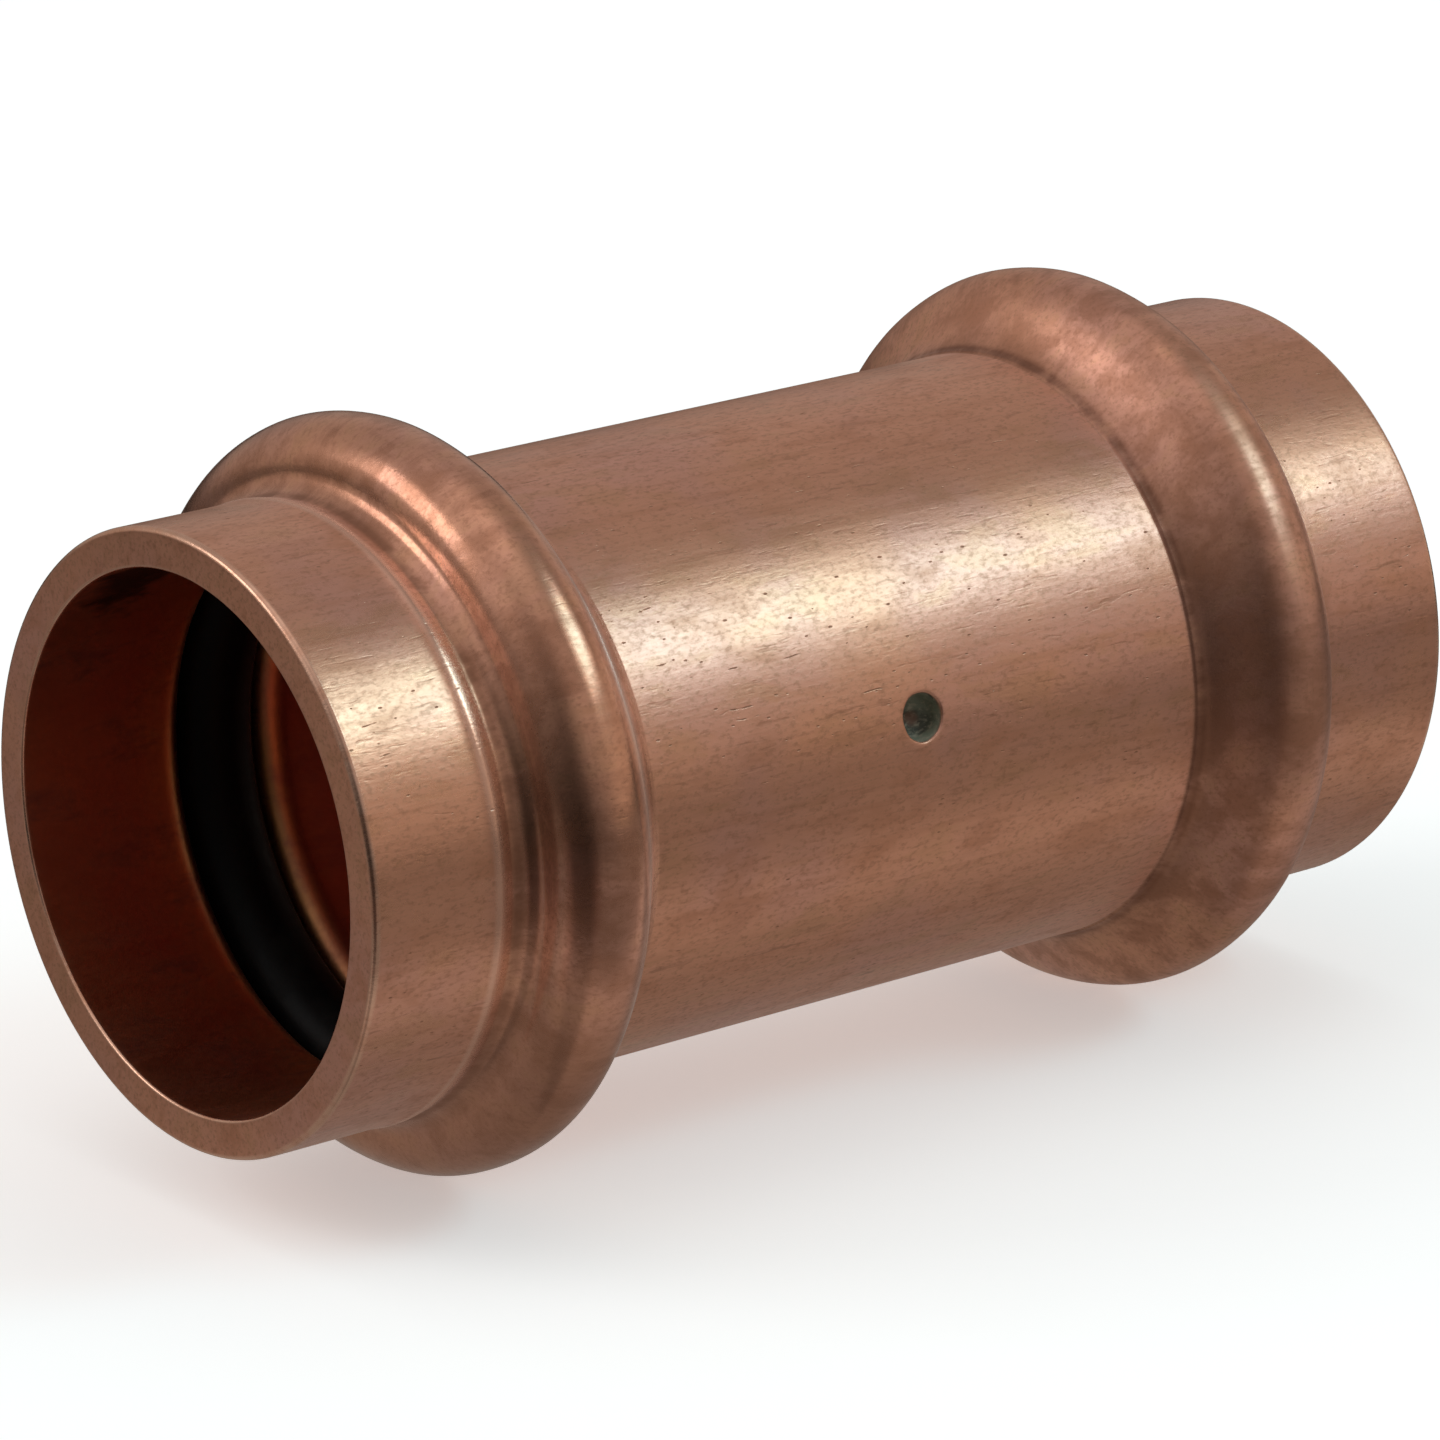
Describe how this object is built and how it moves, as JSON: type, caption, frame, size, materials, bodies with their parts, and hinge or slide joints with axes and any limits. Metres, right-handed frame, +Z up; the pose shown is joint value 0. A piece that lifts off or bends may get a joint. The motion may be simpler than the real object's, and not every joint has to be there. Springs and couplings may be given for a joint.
{
  "type": "press coupling",
  "caption": "Straight copper press-fit pipe coupling with a swelled bead near each end, a rubber sealing ring inside each bead and a dimpled pipe stop in the middle.",
  "frame": {"origin": "middle of the coupling, on the axis of its bore", "axes": "+X along the bore, towards the right-hand mouth; +Z up; the visible dimple is on the -Y side"},
  "size_m": [0.0408, 0.0226, 0.0226],
  "materials": {
    "copper": "satin drawn copper with fine lines along the tube, light scratches and pits",
    "epdm_rubber": "black moulded rubber, slightly greased"
  },
  "bodies": {
    "root": {"fitting_body": "copper", "o_ring_left": "epdm_rubber", "o_ring_right": "epdm_rubber"}
  },
  "joints": []
}
